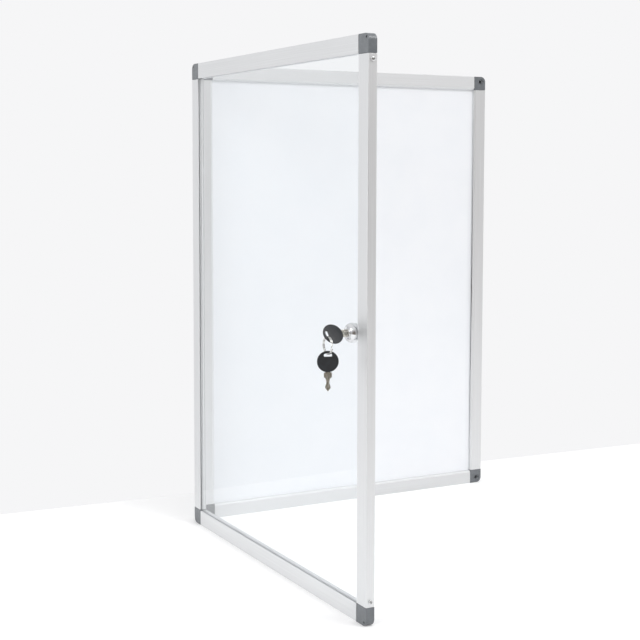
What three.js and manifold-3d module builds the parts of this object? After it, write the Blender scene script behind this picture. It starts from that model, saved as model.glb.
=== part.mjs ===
// A lockable notice board that stands on its lower edges with its door open.
// All lengths are in millimetres. X runs along the board to the right as seen
// from the front, Y runs from the viewer towards the wall and Z is up.
// The origin is the middle of the back frame's foot.

import * as THREE from 'three';
import { mergeVertices } from 'three/addons/utils/BufferGeometryUtils.js';
import Module from 'manifold-3d';

const wasm = await Module();
wasm.setup();

// Whole board

const boardWidth = 525;
const boardHeight = 700;
const doorOpenDegrees = 90;

// Clearances

const seat = 0.3;
const slip = 0.25;
const glueLine = 0.1;
const closingGap = 0.5;
const cutOverrun = 1;
const threadClearance = 0.2;
const runningClearance = 0.1;

// Extruded profile of the back frame

const backDepth = 16;
const backFlat = 19;
const backReach = 22;
const backBevelDepth = 2;
const backWall = 1.4;
const backLipReach = 20;
const edgeRound = 0.8;

// Panel in the back frame

const panelInset = 12;
const panelSetback = 5.5;
const sheetThickness = 0.6;
const coreThickness = 7.6;
const backSheetThickness = 0.4;

// Extruded profile of the door

const doorDepth = 12;
const doorReach = 22.6;
const doorLip = 1.3;
const doorWall = 1.4;
const ribAt = 6;
const ribWidth = 1;
const ribDepth = 0.8;
const lineAt = 10;
const lineWidth = 0.6;
const lineDepth = 0.4;

// Clear pane in the door

const paneThickness = 3;
const paneInset = 16.2;
const panePlay = 0.15;

// Corner caps

const backCapSize = 22.4;
const doorCapSize = 23.2;
const capCornerRadius = 8.5;
const capEdge = 0.7;
const tenonLength = 20;
const wallHoleRadius = 2.5;
const wallHoleInset = 8.5;
const sinkRadius = 4.7;
const sinkStraight = 1.2;
const sinkCone = 2.4;
const dimpleInset = 4.6;
const dimpleRadius = 1.2;
const dimpleDepth = 2.5;

// Pan head screws that hold the corner caps

const cornerScrewFromEnd = 30;
const panHeadRadius = 2.8;
const panHeadHeight = 1.7;
const panHeadEdge = 0.7;
const panShankRadius = 1.5;
const panShankLength = 8;
const crossWidth = 0.8;
const crossLength = 3;
const crossDepth = 0.8;

// Hinges

const hingeFromEnd = 65;
const hingeLength = 50;
const knuckleRadius = 2.5;
const knuckleGap = 0.3;
const hingePinRadius = 1.2;
const hingePinOverhang = 0.8;
const leafThickness = 1.2;
const leafWidth = 11.2;
const leafScrewAcross = 7;
const leafScrewSpacing = 30;
const sunkHeadRadius = 2.4;
const sunkHeadHeight = 1;
const sunkShankRadius = 1.3;
const sunkShankLength = 7;

// Lock

const lockFromStile = 12.4;
const lockBelowMiddle = 1;
const flangeRadius = 12;
const flangeEdge = 2.2;
const lockFaceRadius = 8;
const lockFaceHeight = 9;
const lockFaceChamfer = 0.5;
const barrelRadius = 8;
const barrelLength = 13.2;
const plugRadius = 6;
const plugRecess = 0.3;
const lockNutFlats = 19.6;
const lockNutThickness = 3;
const squareSize = 5.6;
const squareClearance = 0.15;

// Cam and its screw

const camThickness = 1.5;
const camReach = 18;
const camTipRadius = 4;
const camHubRadius = 6.5;
const camSlotClearance = 1;
const camSlotPlay = 0.35;
const camScrewHeadRadius = 3.6;
const camScrewHeadHeight = 1.1;
const camScrewShankRadius = 1.5;
const camScrewShankLength = 3;

// Keys

const keyTurnDegrees = 38;
const keyBowWidth = 26;
const keyBowLength = 25.4;
const keyBowThickness = 2.6;
const keyBowEdge = 0.6;
const keySlotLength = 10.4;
const keySlotWidth = 4.8;
const keySlotCorner = 1.2;
const keySlotFromEnd = 2.5;
const keyExposed = 6.4;
const bladeLength = 22.6;
const bladeShoulderHalf = 4.7;
const bladeBodyHalf = 3.8;
const bladeThickness = 2;
const tangLength = 5;
const tangHalf = 3;
const keywayPlay = 0.2;
const keywayEndPlay = 0.4;

// Split ring and the key that hangs on it

const ringRadius = 10.4;
const ringWireRadius = 0.62;
const ringTurnGap = 0.45;
const ringHang = 2.3;
const hangingKeyPlay = 0.75;
const ringStartDegrees = 20;
const ringTravelDegrees = 680;
const ringStepFromDegrees = 350;
const ringStepToDegrees = 380;
const hangingKeyYawDegrees = 71;

// Numbers of sides and steps

const roundSides = 24;
const smallSides = 10;
const pinSides = 8;
const ringSides = 6;
const ringSteps = 56;
const bowSides = 28;
const cornerSteps = 6;
const edgeSteps = 3;
const bevelSteps = 2;
const knuckleCount = 5;
const hexSides = 6;

// Shares that shape an outline

// Height along the blade and half its width, as shares of its length and of its body's half width
const bladeShares = [
  [0.34, 0.72],
  [0.42, 0.56],
  [0.52, 0.48],
  [0.6, 0.48],
  [0.68, 0.66],
  [0.77, 0.84],
  [0.84, 0.78],
  [0.93, 0.42],
  [1, 0.1],
];
// Place across the lock's dome, from the flange to the face, and its height
const domeShares = [
  [0.08, 0.32],
  [0.34, 0.62],
  [0.74, 0.9],
];
// Rounded top of a pan head
const panShares = [
  [0.92, 0.3],
  [0.7, 0.72],
  [0.38, 0.95],
];
const chamberShare = 0.5;

// Sizes that follow from the ones above

const panelThickness = sheetThickness + coreThickness + backSheetThickness + glueLine + glueLine;
const panelBack = panelSetback + panelThickness;
const paneFront = doorLip + panePlay;
const paneBack = paneFront + paneThickness;
const paneGrooveBack = paneBack + panePlay;
const paneGrooveFloor = paneInset - seat;
const hingeStandoff = knuckleRadius + seat;
const doorBackY = -closingGap / 2;
const doorFrontY = doorBackY - doorDepth;
const hingeX = -boardWidth / 2 - hingeStandoff;
const hingeY = -backDepth / 2 - closingGap / 2;
const lockX = hingeStandoff + boardWidth - doorReach - lockFromStile;
const lockY = doorFrontY + paneFront;
const lockZ = boardHeight / 2 - lockBelowMiddle;
const plugFace = lockFaceHeight - plugRecess;
const camNear = barrelLength + slip;
const camFar = camNear + camThickness;
const lockToWall = boardWidth - backReach - (lockX - hingeStandoff);
const keyBowCentre = plugFace + keyExposed + keyBowLength / 2;
const keySlotCentre = keyBowLength / 2 - keySlotFromEnd - keySlotWidth / 2;
const keyInserted = bladeLength - keyExposed;

// Materials

function finish(color, roughness, metalness, extra = {}) {
  return new THREE.MeshStandardMaterial({ color, roughness, metalness, flatShading: true, ...extra });
}

const aluminium = finish(0xc9cacc, 0.38, 0.9);
const greyPlastic = finish(0x777a7e, 0.55, 0);
const zincPlate = finish(0xc8c8c4, 0.3, 1);
const whiteSheet = finish(0xf3f6fa, 0.22, 0.1);
const boardCore = finish(0xb99b73, 0.9, 0);
const backSteel = finish(0xaeb1b3, 0.45, 0.9);
const clearPlastic = finish(0xf4f8fb, 0.05, 0, { transparent: true, opacity: 0.18 });
const chrome = finish(0xd8d9da, 0.12, 1);
const camSteel = finish(0xb5b6b4, 0.4, 1);
const blackPlastic = finish(0x2e3135, 0.45, 0);
const nickel = finish(0x9a998c, 0.35, 1);
const brightWire = finish(0xcfcfcd, 0.2, 1);

// Closed bodies

const radians = THREE.MathUtils.degToRad;

function closedGeometry(source) {
  const bare = source.clone();
  bare.deleteAttribute('normal');
  bare.deleteAttribute('uv');
  const merged = mergeVertices(bare);
  const places = merged.attributes.position;
  const corners = merged.index.array;
  const kept = [];
  const a = new THREE.Vector3();
  const b = new THREE.Vector3();
  const c = new THREE.Vector3();
  let volume = 0;
  for (let i = 0; i < corners.length; i += 3) {
    const [p, q, r] = [corners[i], corners[i + 1], corners[i + 2]];
    if (p === q || q === r || r === p) {
      continue;
    }
    kept.push(p, q, r);
    a.fromBufferAttribute(places, p);
    b.fromBufferAttribute(places, q);
    c.fromBufferAttribute(places, r);
    volume += a.dot(b.cross(c));
  }
  if (volume < 0) {
    for (let i = 0; i < kept.length; i += 3) {
      [kept[i], kept[i + 1]] = [kept[i + 1], kept[i]];
    }
  }
  const result = new THREE.BufferGeometry();
  result.setAttribute('position', places.clone());
  result.setIndex(kept);
  return result;
}

function toSolid(source) {
  const shape = closedGeometry(source);
  return new wasm.Manifold(new wasm.Mesh({
    numProp: 3,
    vertProperties: new Float32Array(shape.attributes.position.array),
    triVerts: new Uint32Array(shape.index.array),
  }));
}

function toGeometry(solid) {
  const mesh = solid.getMesh();
  const result = new THREE.BufferGeometry();
  result.setAttribute('position', new THREE.BufferAttribute(new Float32Array(mesh.vertProperties), 3));
  result.setIndex(new THREE.BufferAttribute(new Uint32Array(mesh.triVerts), 1));
  return result;
}

function combine(base, { add = [], cut = [] }) {
  let solid = toSolid(base);
  for (const piece of add) {
    solid = solid.add(toSolid(piece));
  }
  for (const piece of cut) {
    solid = solid.subtract(toSolid(piece));
  }
  return toGeometry(solid);
}

// A box between two corners given in any order
function block(x0, x1, y0, y1, z0, z1) {
  const shape = new THREE.BoxGeometry(Math.abs(x1 - x0), Math.abs(y1 - y0), Math.abs(z1 - z0));
  shape.translate((x0 + x1) / 2, (y0 + y1) / 2, (z0 + z1) / 2);
  return shape;
}

// A turned body about the Y axis from pairs of radius and place along the axis
function turned(pairs, sides) {
  const points = pairs.map(([radius, along]) => new THREE.Vector2(radius, along));
  return closedGeometry(new THREE.LatheGeometry(points, sides));
}

// A body turned about the X axis, such as a screw that points into a stile
function turnedAlongX(pairs, sides) {
  const shape = turned(pairs, sides);
  shape.rotateZ(-Math.PI / 2);
  return shape;
}

function outline(points) {
  return new THREE.Shape(points.map(([x, y]) => new THREE.Vector2(x, y)));
}

function arcPoints(x, y, radius, from, to, steps) {
  const points = [];
  for (let i = 0; i <= steps; i += 1) {
    const angle = from + ((to - from) * i) / steps;
    points.push([x + radius * Math.cos(angle), y + radius * Math.sin(angle)]);
  }
  return points;
}

function extruded(shape, depth) {
  return closedGeometry(new THREE.ExtrudeGeometry(shape, { depth, bevelEnabled: false }));
}

// An extrusion of a given height whose rims are rounded
function rounded(shape, height, edge) {
  const result = new THREE.ExtrudeGeometry(shape, {
    depth: height - edge - edge,
    bevelEnabled: true,
    bevelThickness: edge,
    bevelSize: edge,
    bevelOffset: -edge,
    bevelSegments: bevelSteps,
  });
  result.translate(0, 0, edge);
  return closedGeometry(result);
}

function named(name, geometry, material, parent) {
  const mesh = new THREE.Mesh(geometry, material);
  mesh.name = name;
  parent.add(mesh);
  return mesh;
}

// Turns a mesh so that its own X and Y axes point along two given directions
function lay(mesh, place, alongX, alongY) {
  const x = new THREE.Vector3(...alongX);
  const y = new THREE.Vector3(...alongY);
  const z = new THREE.Vector3().crossVectors(x, y);
  mesh.quaternion.setFromRotationMatrix(new THREE.Matrix4().makeBasis(x, y, z));
  mesh.position.set(...place);
  return mesh;
}

// Sections of the two extrusions
// The first coordinate runs inwards from the outer edge, the second back from the face.

const quarter = Math.PI / 2;

function outerEdgePoints(depth) {
  return [
    ...arcPoints(edgeRound, depth - edgeRound, edgeRound, quarter, Math.PI, edgeSteps),
    ...arcPoints(edgeRound, edgeRound, edgeRound, Math.PI, Math.PI + quarter, edgeSteps),
  ];
}

function hollow(x0, x1, y0, y1) {
  return new THREE.Path([
    new THREE.Vector2(x0, y0),
    new THREE.Vector2(x1, y0),
    new THREE.Vector2(x1, y1),
    new THREE.Vector2(x0, y1),
  ]);
}

const backGroove = panelInset - seat;
const backLip = panelBack + seat;
const backInner = backReach - backWall;
const backChannel = {
  from: backWall,
  to: backGroove - backWall,
  front: backWall,
  back: backDepth - backWall,
};
const backSection = outline([
  ...outerEdgePoints(backDepth),
  [backFlat, 0],
  [backReach, backBevelDepth],
  [backReach, panelSetback - seat],
  [backInner, panelSetback - seat],
  [backInner, backBevelDepth + backWall / 2],
  [backFlat - backWall / 2, backWall],
  [backGroove, backWall],
  [backGroove, backLip],
  [backLipReach, backLip],
  [backLipReach, backDepth],
]);
backSection.holes.push(hollow(backChannel.from, backChannel.to, backChannel.front, backChannel.back));

const doorChannel = {
  from: doorWall,
  to: paneGrooveFloor - doorWall,
  front: doorWall,
  back: doorDepth - doorWall,
};
const doorSection = outline([
  ...outerEdgePoints(doorDepth),
  [doorReach, 0],
  [doorReach, doorLip],
  [paneGrooveFloor, doorLip],
  [paneGrooveFloor, paneGrooveBack],
  [doorReach, paneGrooveBack],
  [doorReach, ribAt],
  [doorReach - ribDepth, ribAt],
  [doorReach - ribDepth, ribAt + ribWidth],
  [doorReach, ribAt + ribWidth],
  [doorReach, lineAt],
  [doorReach - lineDepth, lineAt],
  [doorReach - lineDepth, lineAt + lineWidth],
  [doorReach, lineAt + lineWidth],
  [doorReach, doorDepth],
]);
const chamberFar = doorReach - ribDepth - doorWall;
doorSection.holes.push(hollow(doorChannel.from, doorChannel.to, doorChannel.front, doorChannel.back));
doorSection.holes.push(hollow(
  paneGrooveFloor,
  chamberFar,
  paneGrooveBack + doorWall,
  doorChannel.back,
));

// Screws

function panProfile() {
  const domed = panShares.map(([across, up]) => [
    panHeadRadius * across,
    -panHeadEdge - (panHeadHeight - panHeadEdge) * up,
  ]);
  return [
    [0, panShankLength],
    [panShankRadius * chamberShare, panShankLength],
    [panShankRadius, panShankLength - panShankRadius],
    [panShankRadius, 0],
    [panHeadRadius, 0],
    [panHeadRadius, -panHeadEdge],
    ...domed,
    [0, -panHeadHeight],
  ];
}

// The head's underside is at zero and the shank points along plus X
function panScrew() {
  const top = -panHeadHeight - cutOverrun;
  const floor = -panHeadHeight + crossDepth;
  const halfWidth = crossWidth / 2;
  const halfLength = crossLength / 2;
  return combine(turnedAlongX(panProfile(), smallSides), {
    cut: [
      block(top, floor, -halfWidth, halfWidth, -halfLength, halfLength),
      block(top, floor, -halfLength, halfLength, -halfWidth, halfWidth),
    ],
  });
}

function sunkScrew() {
  const profile = [
    [0, sunkShankLength],
    [sunkShankRadius * chamberShare, sunkShankLength],
    [sunkShankRadius, sunkShankLength - sunkShankRadius],
    [sunkShankRadius, sunkHeadHeight],
    [sunkHeadRadius, 0],
    [0, 0],
  ];
  const halfWidth = crossWidth / 2;
  const halfLength = crossLength / 2;
  const floor = crossDepth * chamberShare;
  return combine(turnedAlongX(profile, smallSides), {
    cut: [
      block(-cutOverrun, floor, -halfWidth, halfWidth, -halfLength, halfLength),
      block(-cutOverrun, floor, -halfLength, halfLength, -halfWidth, halfWidth),
    ],
  });
}

// Bore for a screw's shank, along X from a little outside the surface
function shankBore(radius, length) {
  return turnedAlongX([
    [0, -cutOverrun],
    [radius, -cutOverrun],
    [radius, length],
    [0, length],
  ], smallSides);
}

// Stile of a frame, upright, with the bores for its screws
// Local X runs inwards from the outer edge and local Y runs back from the face.
function stile(section, height, capSize, screws) {
  const start = capSize + seat;
  const length = height - start - start;
  const bores = screws.map(({ radius, reach, back, up }) => {
    const bore = shankBore(radius, reach);
    bore.translate(0, back, up - start);
    return bore;
  });
  return combine(extruded(section, length), { cut: bores });
}

function crossRail(section, width, capSize) {
  return extruded(section, width - capSize - capSize - seat - seat);
}

// Corner caps
// Local X runs sideways, local Y up and local Z from the back of the frame to its face.

function capOutline(size, toRight, up) {
  const r = capCornerRadius;
  const corner = arcPoints(r, r, r, Math.PI, Math.PI + quarter, cornerSteps);
  const points = [...corner, [size, 0], [size, size], [0, size]];
  return outline(points.map(([x, y]) => [x * toRight, y * up]));
}

function cap({ size, depth, channel, pocket, toRight, up, sinkHole, screwBack }) {
  const body = rounded(capOutline(size, toRight, up), depth, capEdge);
  const root = size - cutOverrun;
  const end = size + tenonLength;
  const near = channel.from + slip;
  const far = channel.to - slip;
  const low = depth - channel.back + slip;
  const high = depth - channel.front - slip;
  const sideTenon = block(root * toRight, end * toRight, near * up, far * up, low, high);
  const uprightTenon = block(near * toRight, far * toRight, root * up, end * up, low, high);
  const reach = size + cutOverrun;
  const panelPocket = block(
    pocket.from * toRight,
    reach * toRight,
    pocket.from * up,
    reach * up,
    depth - pocket.back,
    depth - pocket.front,
  );
  const bore = shankBore(panShankRadius + threadClearance, far + cutOverrun);
  bore.rotateY(toRight > 0 ? 0 : Math.PI);
  bore.translate(0, cornerScrewFromEnd * up, depth - screwBack);
  const cuts = [panelPocket, bore];
  if (sinkHole) {
    const sink = turned([
      [0, -cutOverrun],
      [wallHoleRadius, -cutOverrun],
      [wallHoleRadius, depth - sinkStraight - sinkCone],
      [sinkRadius, depth - sinkStraight],
      [sinkRadius, depth + cutOverrun],
      [0, depth + cutOverrun],
    ], roundSides);
    sink.rotateX(quarter);
    sink.translate(wallHoleInset * toRight, wallHoleInset * up, 0);
    cuts.push(sink);
  } else {
    const dimple = turned([
      [0, depth - dimpleDepth],
      [dimpleRadius, depth - dimpleDepth],
      [dimpleRadius, depth + cutOverrun],
      [0, depth + cutOverrun],
    ], pinSides);
    dimple.rotateX(quarter);
    dimple.translate(dimpleInset * toRight, dimpleInset * up, 0);
    cuts.push(dimple);
  }
  return combine(body, { add: [sideTenon, uprightTenon], cut: cuts });
}

// One frame of four rails, four caps and four screws
function buildFrame(parent, frame) {
  const { prefix, left, front, width, height, section, depth } = frame;
  const { capSize, channel, pocket, sinkHole } = frame;
  const right = left + width;
  const middleBack = depth / 2;
  const railStart = capSize + seat;
  const cornerBore = { radius: panShankRadius + threadClearance, reach: channel.to, back: middleBack };
  const cornerBores = [cornerScrewFromEnd, height - cornerScrewFromEnd].map((up) => ({ ...cornerBore, up }));
  const leftStile = named(`${prefix}_stile_left`,
    stile(section, height, capSize, [...cornerBores, ...frame.leftBores]), aluminium, parent);
  lay(leftStile, [left, front, railStart], [1, 0, 0], [0, 1, 0]);
  // The right stile runs from the top down, so a bore's height is measured from the top
  let rightShape = stile(section, height, capSize, cornerBores);
  if (frame.rightCuts.length > 0) {
    rightShape = combine(rightShape, { cut: frame.rightCuts });
  }
  const rightStile = named(`${prefix}_stile_right`, rightShape, aluminium, parent);
  lay(rightStile, [right, front, height - railStart], [-1, 0, 0], [0, 1, 0]);
  const topRail = named(`${prefix}_rail_top`, crossRail(section, width, capSize), aluminium, parent);
  lay(topRail, [left + railStart, front, height], [0, 0, -1], [0, 1, 0]);
  const bottomRail = named(`${prefix}_rail_bottom`, crossRail(section, width, capSize), aluminium, parent);
  lay(bottomRail, [right - railStart, front, 0], [0, 0, 1], [0, 1, 0]);
  for (const [level, up] of [['top', -1], ['bottom', 1]]) {
    for (const [side, toRight] of [['left', 1], ['right', -1]]) {
      const x = toRight > 0 ? left : right;
      const z = up > 0 ? 0 : height;
      const corner = { size: capSize, depth, channel, pocket, toRight, up, sinkHole, screwBack: middleBack };
      const shape = cap(corner);
      const piece = named(`${prefix}_corner_cap_${level}_${side}`, shape, greyPlastic, parent);
      lay(piece, [x, front + depth, z], [1, 0, 0], [0, 0, 1]);
      const screw = named(`${prefix}_corner_screw_${level}_${side}`, panScrew(), zincPlate, parent);
      screw.rotation.z = toRight > 0 ? 0 : Math.PI;
      const inset = -slip * toRight;
      screw.position.set(x + inset, front + middleBack, z + cornerScrewFromEnd * up);
    }
  }
}

// Hinges

const knucklePitch = hingeLength / knuckleCount;
const leafNear = hingeStandoff - seat - leafThickness;
const leafFar = hingeStandoff - seat;
const hingeHeights = { top: boardHeight - hingeFromEnd, bottom: hingeFromEnd };
const leafScrewHeights = [-leafScrewSpacing / 2, leafScrewSpacing / 2];

function ring(outer, inner, from, to, sides) {
  const shape = turned([
    [inner, from],
    [outer, from],
    [outer, to],
    [inner, to],
    [inner, from],
  ], sides);
  shape.rotateX(quarter);
  return shape;
}

// One leaf with its knuckles about the Z axis, the leaf reaching along plus or minus Y
function hingeLeaf(toward, own) {
  const half = hingeLength / 2;
  const start = knuckleRadius + knuckleGap;
  const plate = block(leafNear, leafFar, start * toward, leafWidth * toward, -half, half);
  const additions = [];
  for (let i = 0; i < knuckleCount; i += 1) {
    if (i % 2 === own) {
      const low = -half + i * knucklePitch + (i > 0 ? knuckleGap / 2 : 0);
      const high = -half + (i + 1) * knucklePitch - (i < knuckleCount - 1 ? knuckleGap / 2 : 0);
      const bore = hingePinRadius + runningClearance;
      const barrel = combine(ring(knuckleRadius, bore, low, high, smallSides), {
        add: [block(leafNear, leafFar, 0, (start + knuckleGap) * toward, low, high)],
      });
      additions.push(barrel);
    }
  }
  const holes = leafScrewHeights.map((up) => {
    const hole = turnedAlongX([
      [0, -cutOverrun],
      [sunkHeadRadius + threadClearance, -cutOverrun],
      [sunkHeadRadius + threadClearance, 0],
      [sunkShankRadius + threadClearance, sunkHeadHeight],
      [sunkShankRadius + threadClearance, leafThickness + cutOverrun],
      [0, leafThickness + cutOverrun],
    ], smallSides);
    hole.translate(leafNear, leafScrewAcross * toward, up);
    return hole;
  });
  return combine(plate, { add: additions, cut: holes });
}

function addHingeLeaf(parent, name, toward, own, height) {
  const leaf = named(`${name}_leaf`, hingeLeaf(toward, own), zincPlate, parent);
  leaf.position.set(0, 0, height);
  leafScrewHeights.forEach((up, index) => {
    const screw = named(`${name}_screw_${index + 1}`, sunkScrew(), zincPlate, parent);
    screw.position.set(leafNear + threadClearance / 2, leafScrewAcross * toward, height + up);
  });
}

function leafBores(across) {
  const bores = [];
  for (const centre of Object.values(hingeHeights)) {
    for (const up of leafScrewHeights) {
      bores.push({
        radius: sunkShankRadius + threadClearance,
        reach: doorWall + cutOverrun,
        back: across,
        up: centre + up,
      });
    }
  }
  return bores;
}

// The whole model

const model = new THREE.Group();

// Back frame, with the slot in its right stile that the cam swings into

const lockFromTop = boardHeight - lockZ - backCapSize - seat;
const slotFront = camNear + paneFront - doorDepth - closingGap - camSlotPlay;
const slotBack = slotFront + camThickness + camSlotPlay + camSlotPlay;
const slotDown = Math.sqrt(camReach * camReach - lockToWall * lockToWall) + camSlotClearance;
const slotUp = camHubRadius;
const camSlot = block(
  backInner - cutOverrun,
  backReach + cutOverrun,
  slotFront,
  slotBack,
  lockFromTop - slotUp,
  lockFromTop + slotDown,
);

const hingeAxis = new THREE.Group();
hingeAxis.position.set(hingeX, hingeY, 0);
model.add(hingeAxis);

buildFrame(model, {
  prefix: 'back',
  left: -boardWidth / 2,
  front: -backDepth / 2,
  width: boardWidth,
  height: boardHeight,
  section: backSection,
  depth: backDepth,
  capSize: backCapSize,
  channel: backChannel,
  pocket: { from: backGroove, front: panelSetback - seat, back: backLip },
  sinkHole: true,
  leftBores: leafBores(leafScrewAcross - closingGap / 2),
  rightCuts: [camSlot],
});

// Panel of the back frame

const panelWidth = boardWidth - panelInset - panelInset;
const panelHeight = boardHeight - panelInset - panelInset;
const panelFrontY = -backDepth / 2 + panelSetback;

function addPanel(name, thickness, front, material) {
  const plate = new THREE.BoxGeometry(panelWidth, thickness, panelHeight);
  const mesh = named(name, closedGeometry(plate), material, model);
  mesh.position.set(0, panelFrontY + front + thickness / 2, boardHeight / 2);
}

addPanel('writing_sheet', sheetThickness, 0, whiteSheet);
addPanel('board_core', coreThickness, sheetThickness + glueLine, boardCore);
addPanel('back_sheet', backSheetThickness, panelThickness - backSheetThickness, backSteel);

// Hinge leaves and pins of the back frame

for (const [level, height] of Object.entries(hingeHeights)) {
  addHingeLeaf(hingeAxis, `hinge_${level}_frame`, 1, 0, height);
  const half = hingeLength / 2 + hingePinOverhang;
  const pin = turned([
    [0, -half],
    [hingePinRadius, -half],
    [hingePinRadius, half],
    [0, half],
  ], pinSides);
  pin.rotateX(quarter);
  const mesh = named(`hinge_${level}_pin`, pin, zincPlate, hingeAxis);
  mesh.position.set(0, 0, height);
}

// Door, built closed about the hinge axis and then swung open

const door = new THREE.Group();
door.position.set(hingeX, hingeY, 0);
door.rotation.z = -radians(doorOpenDegrees);
model.add(door);

buildFrame(door, {
  prefix: 'door',
  left: hingeStandoff,
  front: doorFrontY,
  width: boardWidth,
  height: boardHeight,
  section: doorSection,
  depth: doorDepth,
  capSize: doorCapSize,
  channel: doorChannel,
  pocket: { from: paneGrooveFloor, front: doorLip, back: paneGrooveBack },
  sinkHole: false,
  leftBores: leafBores(doorDepth - leafScrewAcross + closingGap / 2),
  rightCuts: [],
});

for (const [level, height] of Object.entries(hingeHeights)) {
  addHingeLeaf(door, `hinge_${level}_door`, -1, 1, height);
}

// Clear pane with the hole for the lock's barrel

const paneWidth = boardWidth - paneInset - paneInset;
const paneHeight = boardHeight - paneInset - paneInset;
const paneCentreX = hingeStandoff + boardWidth / 2;
const paneHole = turned([
  [0, -cutOverrun],
  [barrelRadius + slip, -cutOverrun],
  [barrelRadius + slip, paneThickness + cutOverrun],
  [0, paneThickness + cutOverrun],
], roundSides);
paneHole.translate(lockX - paneCentreX, -paneThickness / 2, lockZ - boardHeight / 2);
const paneShape = combine(new THREE.BoxGeometry(paneWidth, paneThickness, paneHeight), { cut: [paneHole] });
const pane = named('clear_pane', paneShape, clearPlastic, door);
pane.position.set(paneCentreX, lockY + paneThickness / 2, boardHeight / 2);

// Lock
// In this group plus Y runs in through the pane, so what stands out of the door has a negative Y.

const lock = new THREE.Group();
lock.position.set(lockX, lockY, lockZ);
door.add(lock);

const barrelBore = plugRadius + runningClearance;
const dome = domeShares.map(([across, up]) => [
  flangeRadius - (flangeRadius - lockFaceRadius) * across,
  -flangeEdge - (lockFaceHeight - flangeEdge) * up,
]);
const barrelShape = turned([
  [barrelBore, barrelLength],
  [barrelRadius, barrelLength],
  [barrelRadius, -slip],
  [flangeRadius, -slip],
  [flangeRadius, -flangeEdge],
  ...dome,
  [lockFaceRadius, -lockFaceHeight],
  [barrelBore + lockFaceChamfer, -lockFaceHeight],
  [barrelBore, -lockFaceHeight + lockFaceChamfer],
  [barrelBore, barrelLength],
], roundSides);
named('lock_barrel', barrelShape, chrome, lock);

const nutHeight = paneThickness + slip;
const nutBody = new THREE.CylinderGeometry(
  lockNutFlats / Math.sqrt(3),
  lockNutFlats / Math.sqrt(3),
  lockNutThickness,
  hexSides,
);
nutBody.translate(0, nutHeight + lockNutThickness / 2, 0);
const nutBore = turned([
  [0, 0],
  [barrelRadius + threadClearance, 0],
  [barrelRadius + threadClearance, barrelLength],
  [0, barrelLength],
], roundSides);
named('lock_nut', combine(nutBody, { cut: [nutBore] }), chrome, lock);

// Turning parts of the lock, built with the key upright and the cam down

const rotor = new THREE.Group();
rotor.rotation.y = -radians(keyTurnDegrees);
lock.add(rotor);

const plugBody = turned([
  [0, barrelLength],
  [plugRadius, barrelLength],
  [plugRadius, -plugFace],
  [0, -plugFace],
], roundSides);
const squareHalf = squareSize / 2;
const square = block(-squareHalf, squareHalf, barrelLength - cutOverrun, camFar, -squareHalf, squareHalf);
const keywayHalf = bladeThickness / 2 + keywayPlay;
const keywayReach = bladeBodyHalf + keywayPlay;
const keywayEnd = keyInserted - plugFace + keywayEndPlay;
const keyway = block(-keywayHalf, keywayHalf, -plugFace - cutOverrun, keywayEnd, -keywayReach, keywayReach);
const camScrewTip = camFar + slip - camScrewShankLength;
const plugBore = turned([
  [0, camScrewTip - threadClearance],
  [camScrewShankRadius + threadClearance, camScrewTip - threadClearance],
  [camScrewShankRadius + threadClearance, camFar + cutOverrun],
  [0, camFar + cutOverrun],
], smallSides);
named('lock_plug', combine(plugBody, { add: [square], cut: [keyway, plugBore] }), chrome, rotor);

// The cam's outline tapers from its hub to its tip, which points down when unlocked
const camTipCentre = camReach - camTipRadius;
const taper = Math.asin((camHubRadius - camTipRadius) / camTipCentre);
const camOutline = outline([
  ...arcPoints(0, 0, camHubRadius, -taper, Math.PI + taper, cornerSteps + cornerSteps),
  ...arcPoints(0, -camTipCentre, camTipRadius, Math.PI + taper, Math.PI * 2 - taper, cornerSteps),
]);
const camHole = squareHalf + squareClearance;
camOutline.holes.push(hollow(-camHole, camHole, -camHole, camHole));
const cam = named('lock_cam', extruded(camOutline, camThickness), camSteel, rotor);
lay(cam, [0, camFar, 0], [1, 0, 0], [0, 0, 1]);

const camScrewHead = camFar + slip + camScrewHeadHeight;
const camScrewBody = turned([
  [0, camScrewTip],
  [camScrewShankRadius, camScrewTip],
  [camScrewShankRadius, camFar + slip],
  [camScrewHeadRadius, camFar + slip],
  [camScrewHeadRadius, camScrewHead - crossDepth / 2],
  [camScrewHeadRadius - crossDepth / 2, camScrewHead],
  [0, camScrewHead],
], smallSides);
const driveFloor = camScrewHead - crossDepth;
const driveTop = camScrewHead + cutOverrun;
const across = crossWidth / 2;
const along = crossLength / 2;
named('lock_cam_screw', combine(camScrewBody, {
  cut: [
    block(-across, across, driveFloor, driveTop, -along, along),
    block(-along, along, driveFloor, driveTop, -across, across),
  ],
}), zincPlate, rotor);

// Keys
// A key lies in its own XY plane with its tip along plus Y and the middle of its bow at the origin.

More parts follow.
